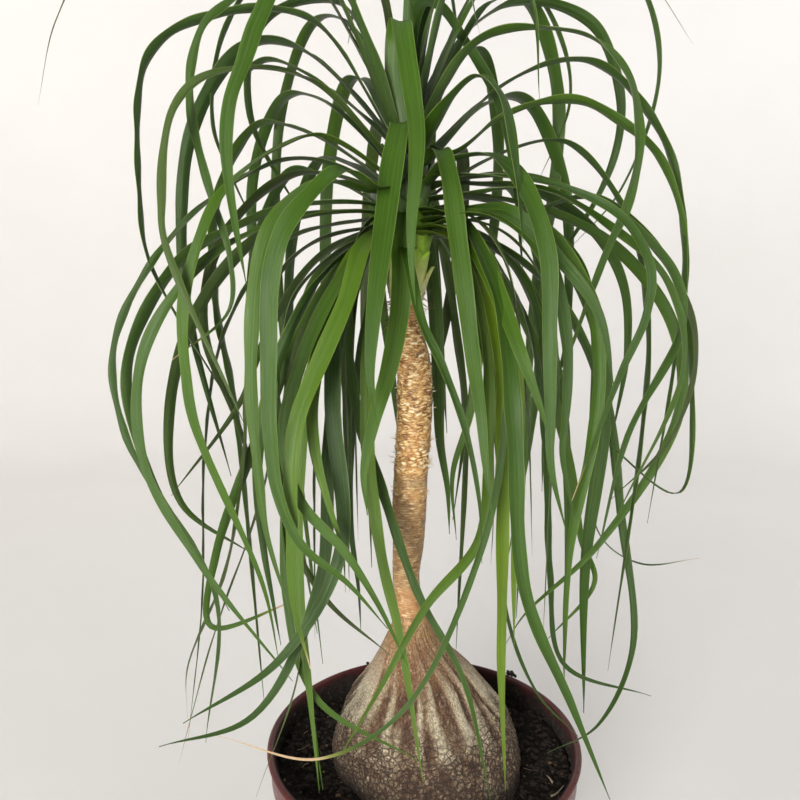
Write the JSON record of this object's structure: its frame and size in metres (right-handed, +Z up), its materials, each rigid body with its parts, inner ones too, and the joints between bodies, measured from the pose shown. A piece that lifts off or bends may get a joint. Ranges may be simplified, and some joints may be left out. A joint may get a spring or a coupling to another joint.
{
  "type": "potted ponytail palm",
  "caption": "Potted ponytail palm: swollen corky caudex, slim ringed trunk and a fountain of long drooping strap leaves in a tapered maroon flowerpot",
  "frame": {"origin": "centre of the pot's flat base", "axes": "+Z up along the pot's axis and the plant's height, -Y the side seen in the picture, +X to the viewer's right"},
  "size_m": [0.6309, 0.3896, 0.981],
  "materials": {
    "pot_plastic": "satin",
    "potting_mix": "matte",
    "bark": "matte",
    "leaf": "satin"
  },
  "bodies": {
    "root": {"pot": "pot_plastic", "soil": "potting_mix", "caudex_and_trunk": "bark", "leaf_crown": "leaf"}
  },
  "joints": []
}
